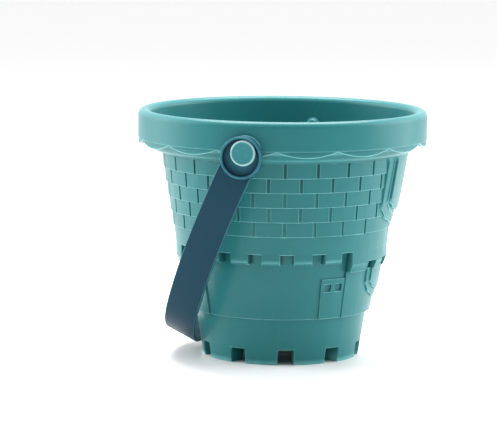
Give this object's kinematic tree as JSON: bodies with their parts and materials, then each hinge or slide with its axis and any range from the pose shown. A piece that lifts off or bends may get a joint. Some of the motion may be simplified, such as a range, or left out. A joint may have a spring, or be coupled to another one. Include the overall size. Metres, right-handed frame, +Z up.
{
  "type": "castle sand bucket",
  "caption": "Tapered castle-mould sand pail with brick walls, a scalloped collar, battlements, crenellated feet and a strap handle that swings on round pivot buttons.",
  "frame": {"origin": "on the pail's vertical axis at the floor, under the feet", "axes": "+Z up along the pail's axis; +Y through the back pivot button, so the front button is on -Y; +X through one tower, and the handle hangs on the -X side at rest"},
  "size_m": [0.22, 0.236, 0.188],
  "materials": {
    "teal_plastic": "satin moulded polypropylene",
    "navy_plastic": "satin moulded polypropylene",
    "button_plastic": "satin moulded polypropylene"
  },
  "bodies": {
    "pail": {"bucket": "teal_plastic", "pivot_button_front": "button_plastic", "pivot_button_back": "button_plastic"},
    "bail": {"handle": "navy_plastic"}
  },
  "joints": [
    {"name": "handle_swing", "type": "hinge", "parent": "pail", "child": "bail", "pos_m": [0, 0, 0.1658], "axis": [0, 1, 0], "range_deg": [0, 309]}
  ]
}
